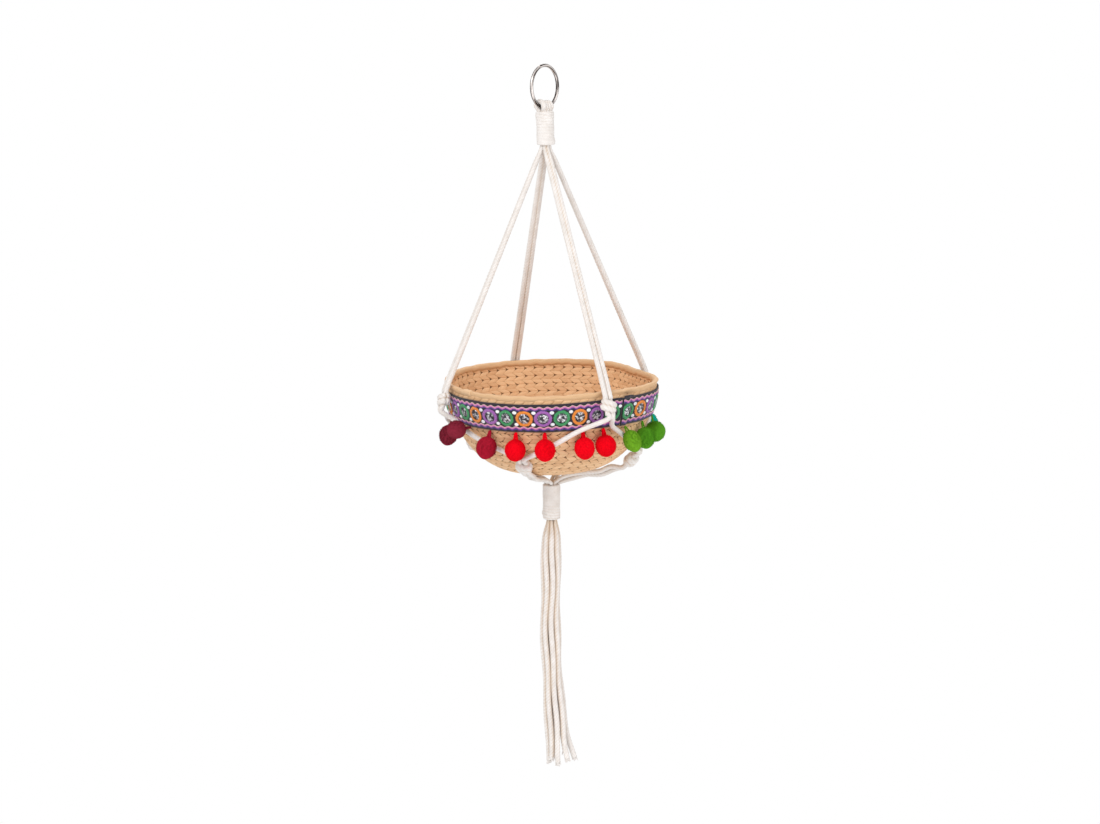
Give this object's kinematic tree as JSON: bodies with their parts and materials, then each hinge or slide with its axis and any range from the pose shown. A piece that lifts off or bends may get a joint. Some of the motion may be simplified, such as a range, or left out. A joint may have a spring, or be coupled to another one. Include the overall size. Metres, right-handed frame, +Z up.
{
  "type": "hanging rope basket",
  "caption": "Woven bowl slung in knotted cords from a steel ring, with a trim ribbon, free-swinging pompoms and a tassel; for plants, fruit or small things.",
  "frame": {"origin": "inner top of the hanging ring, where a hook bears", "axes": "+Z up along the hanging axis; the front, with the ribbon's lap to its right, faces -Y"},
  "size_m": [0.2031, 0.2164, 0.6421],
  "materials": {
    "steel": "polished wire with dull reflections",
    "cotton_cord": "matt twisted cotton",
    "palm_leaf": "satin plaited leaf",
    "palm_leaf_binding": "satin leaf strip",
    "trim_ribbon": "matt ribbon with stitched rings and small mirrors",
    "felt_teal": "fuzzy felt",
    "felt_cyan": "fuzzy felt",
    "felt_blue": "fuzzy felt",
    "felt_indigo": "fuzzy felt",
    "felt_violet": "fuzzy felt",
    "felt_purple": "fuzzy felt",
    "felt_plum": "fuzzy felt",
    "felt_maroon": "fuzzy felt",
    "felt_crimson": "fuzzy felt",
    "felt_red": "fuzzy felt",
    "felt_lime": "fuzzy felt",
    "felt_green": "fuzzy felt"
  },
  "bodies": {
    "ring": {"hanging_ring": "steel"},
    "hanger": {"crown_loops": "cotton_cord", "top_wrap": "cotton_cord", "leg_right": "cotton_cord", "leg_back": "cotton_cord", "leg_left": "cotton_cord", "leg_front": "cotton_cord", "rim_knot_right": "cotton_cord", "rim_knot_back": "cotton_cord", "rim_knot_left": "cotton_cord", "rim_knot_front": "cotton_cord", "sling_back_right_left": "cotton_cord", "sling_back_right_right": "cotton_cord", "sling_back_left_left": "cotton_cord", "sling_back_left_right": "cotton_cord", "sling_front_left_left": "cotton_cord", "sling_front_left_right": "cotton_cord", "sling_front_right_left": "cotton_cord", "sling_front_right_right": "cotton_cord", "low_knot_back_right": "cotton_cord", "low_knot_back_left": "cotton_cord", "low_knot_front_left": "cotton_cord", "low_knot_front_right": "cotton_cord", "cradle_back_right": "cotton_cord", "cradle_back_left": "cotton_cord", "cradle_front_left": "cotton_cord", "cradle_front_right": "cotton_cord", "bottom_wrap": "cotton_cord", "woven_bowl": "palm_leaf", "rim_binding": "palm_leaf_binding", "trim_band": "trim_ribbon"},
    "pompom_01": {"pompom_01": "felt_teal"},
    "pompom_02": {"pompom_02": "felt_cyan"},
    "pompom_03": {"pompom_03": "felt_cyan"},
    "pompom_04": {"pompom_04": "felt_blue"},
    "pompom_05": {"pompom_05": "felt_blue"},
    "pompom_06": {"pompom_06": "felt_indigo"},
    "pompom_07": {"pompom_07": "felt_violet"},
    "pompom_08": {"pompom_08": "felt_purple"},
    "pompom_09": {"pompom_09": "felt_plum"},
    "pompom_10": {"pompom_10": "felt_plum"},
    "pompom_11": {"pompom_11": "felt_maroon"},
    "pompom_12": {"pompom_12": "felt_maroon"},
    "pompom_13": {"pompom_13": "felt_crimson"},
    "pompom_14": {"pompom_14": "felt_red"},
    "pompom_15": {"pompom_15": "felt_red"},
    "pompom_16": {"pompom_16": "felt_red"},
    "pompom_17": {"pompom_17": "felt_red"},
    "pompom_18": {"pompom_18": "felt_lime"},
    "pompom_19": {"pompom_19": "felt_green"},
    "pompom_20": {"pompom_20": "felt_green"},
    "tassel_strand_1": {"tassel_strand_1": "cotton_cord"},
    "tassel_strand_2": {"tassel_strand_2": "cotton_cord"},
    "tassel_strand_3": {"tassel_strand_3": "cotton_cord"},
    "tassel_strand_4": {"tassel_strand_4": "cotton_cord"},
    "tassel_strand_5": {"tassel_strand_5": "cotton_cord"},
    "tassel_strand_6": {"tassel_strand_6": "cotton_cord"},
    "tassel_strand_7": {"tassel_strand_7": "cotton_cord"},
    "tassel_strand_8": {"tassel_strand_8": "cotton_cord"}
  },
  "joints": [
    {"name": "hanger_swing", "type": "hinge", "parent": "ring", "child": "hanger", "pos_m": [0, 0, -0.03525], "axis": [0.6157, 0.788, 0], "range_deg": [-70, 70]},
    {"name": "pompom_01_swing", "type": "hinge", "parent": "hanger", "child": "pompom_01", "pos_m": [0.08574, 0.01834, -0.30965], "axis": [0.3462, -0.9381, 0], "range_deg": [0, 45]},
    {"name": "pompom_02_swing", "type": "hinge", "parent": "hanger", "child": "pompom_02", "pos_m": [0.07832, 0.03649, -0.30963], "axis": [0.3935, -0.9193, 0], "range_deg": [0, 60]},
    {"name": "pompom_03_swing", "type": "hinge", "parent": "hanger", "child": "pompom_03", "pos_m": [0.06407, 0.06389, -0.30971], "axis": [0.583, -0.8124, 0], "range_deg": [0, 70]},
    {"name": "pompom_04_swing", "type": "hinge", "parent": "hanger", "child": "pompom_04", "pos_m": [0.04534, 0.0817, -0.30978], "axis": [0.8426, -0.5386, 0], "range_deg": [0, 70]},
    {"name": "pompom_05_swing", "type": "hinge", "parent": "hanger", "child": "pompom_05", "pos_m": [0.01954, 0.09198, -0.30979], "axis": [0.9799, -0.1996, 0], "range_deg": [0, 70]},
    {"name": "pompom_06_swing", "type": "hinge", "parent": "hanger", "child": "pompom_06", "pos_m": [-0.01301, 0.09247, -0.30978], "axis": [0.9874, 0.1582, 0], "range_deg": [0, 60]},
    {"name": "pompom_07_swing", "type": "hinge", "parent": "hanger", "child": "pompom_07", "pos_m": [-0.0334, 0.08703, -0.30978], "axis": [0.9354, 0.3537, 0], "range_deg": [0, 65]},
    {"name": "pompom_08_swing", "type": "hinge", "parent": "hanger", "child": "pompom_08", "pos_m": [-0.05497, 0.07567, -0.30978], "axis": [0.8157, 0.5785, 0], "range_deg": [0, 70]},
    {"name": "pompom_09_swing", "type": "hinge", "parent": "hanger", "child": "pompom_09", "pos_m": [-0.06838, 0.06375, -0.30978], "axis": [0.6671, 0.745, 0], "range_deg": [0, 70]},
    {"name": "pompom_10_swing", "type": "hinge", "parent": "hanger", "child": "pompom_10", "pos_m": [-0.07867, 0.0491, -0.30976], "axis": [0.4749, 0.88, 0], "range_deg": [0, 70]},
    {"name": "pompom_11_swing", "type": "hinge", "parent": "hanger", "child": "pompom_11", "pos_m": [-0.08775, -0.02024, -0.30971], "axis": [-0.2054, 0.9787, 0], "range_deg": [0, 60]},
    {"name": "pompom_12_swing", "type": "hinge", "parent": "hanger", "child": "pompom_12", "pos_m": [-0.07013, -0.05983, -0.30975], "axis": [-0.5931, 0.8051, 0], "range_deg": [0, 30]},
    {"name": "pompom_13_swing", "type": "hinge", "parent": "hanger", "child": "pompom_13", "pos_m": [-0.05241, -0.07765, -0.30978], "axis": [-0.8051, 0.5932, 0], "range_deg": [0, 70]},
    {"name": "pompom_14_swing", "type": "hinge", "parent": "hanger", "child": "pompom_14", "pos_m": [-0.02988, -0.0893, -0.30979], "axis": [-0.9492, 0.3147, 0], "range_deg": [0, 70]},
    {"name": "pompom_15_swing", "type": "hinge", "parent": "hanger", "child": "pompom_15", "pos_m": [-0.00485, -0.09333, -0.30978], "axis": [-1, -0.0057, 0], "range_deg": [0, 70]},
    {"name": "pompom_16_swing", "type": "hinge", "parent": "hanger", "child": "pompom_16", "pos_m": [0.02803, -0.08603, -0.30972], "axis": [-0.9195, -0.393, 0], "range_deg": [0, 60]},
    {"name": "pompom_17_swing", "type": "hinge", "parent": "hanger", "child": "pompom_17", "pos_m": [0.04612, -0.07677, -0.3097], "axis": [-0.8619, -0.507, 0], "range_deg": [0, 65]},
    {"name": "pompom_18_swing", "type": "hinge", "parent": "hanger", "child": "pompom_18", "pos_m": [0.06564, -0.06478, -0.31015], "axis": [-0.7678, -0.6407, 0], "range_deg": [0, 70]},
    {"name": "pompom_19_swing", "type": "hinge", "parent": "hanger", "child": "pompom_19", "pos_m": [0.08142, -0.04518, -0.30977], "axis": [-0.5307, -0.8476, 0], "range_deg": [0, 70]},
    {"name": "pompom_20_swing", "type": "hinge", "parent": "hanger", "child": "pompom_20", "pos_m": [0.09115, -0.01766, -0.30977], "axis": [-0.1127, -0.9936, 0], "range_deg": [0, 70]},
    {"name": "tassel_strand_1_swing", "type": "hinge", "parent": "hanger", "child": "tassel_strand_1", "pos_m": [0.00271, 0.00274, -0.40902], "axis": [0.6756, -0.7373, 0], "range_deg": [0, 35]},
    {"name": "tassel_strand_2_swing", "type": "hinge", "parent": "hanger", "child": "tassel_strand_2", "pos_m": [0.00036, 0.00384, -0.40902], "axis": [0.999, -0.0436, 0], "range_deg": [0, 35]},
    {"name": "tassel_strand_3_swing", "type": "hinge", "parent": "hanger", "child": "tassel_strand_3", "pos_m": [-0.00274, 0.00271, -0.40902], "axis": [0.7373, 0.6756, 0], "range_deg": [0, 35]},
    {"name": "tassel_strand_4_swing", "type": "hinge", "parent": "hanger", "child": "tassel_strand_4", "pos_m": [-0.00384, 0.00036, -0.40902], "axis": [0.0436, 0.999, 0], "range_deg": [0, 35]},
    {"name": "tassel_strand_5_swing", "type": "hinge", "parent": "hanger", "child": "tassel_strand_5", "pos_m": [-0.00271, -0.00274, -0.40902], "axis": [-0.6756, 0.7373, 0], "range_deg": [0, 35]},
    {"name": "tassel_strand_6_swing", "type": "hinge", "parent": "hanger", "child": "tassel_strand_6", "pos_m": [-0.00036, -0.00384, -0.40902], "axis": [-0.999, 0.0436, 0], "range_deg": [0, 35]},
    {"name": "tassel_strand_7_swing", "type": "hinge", "parent": "hanger", "child": "tassel_strand_7", "pos_m": [0.00274, -0.00271, -0.40902], "axis": [-0.7373, -0.6756, 0], "range_deg": [0, 35]},
    {"name": "tassel_strand_8_swing", "type": "hinge", "parent": "hanger", "child": "tassel_strand_8", "pos_m": [0.00384, -0.00036, -0.40902], "axis": [-0.0436, -0.999, 0], "range_deg": [0, 35]}
  ]
}
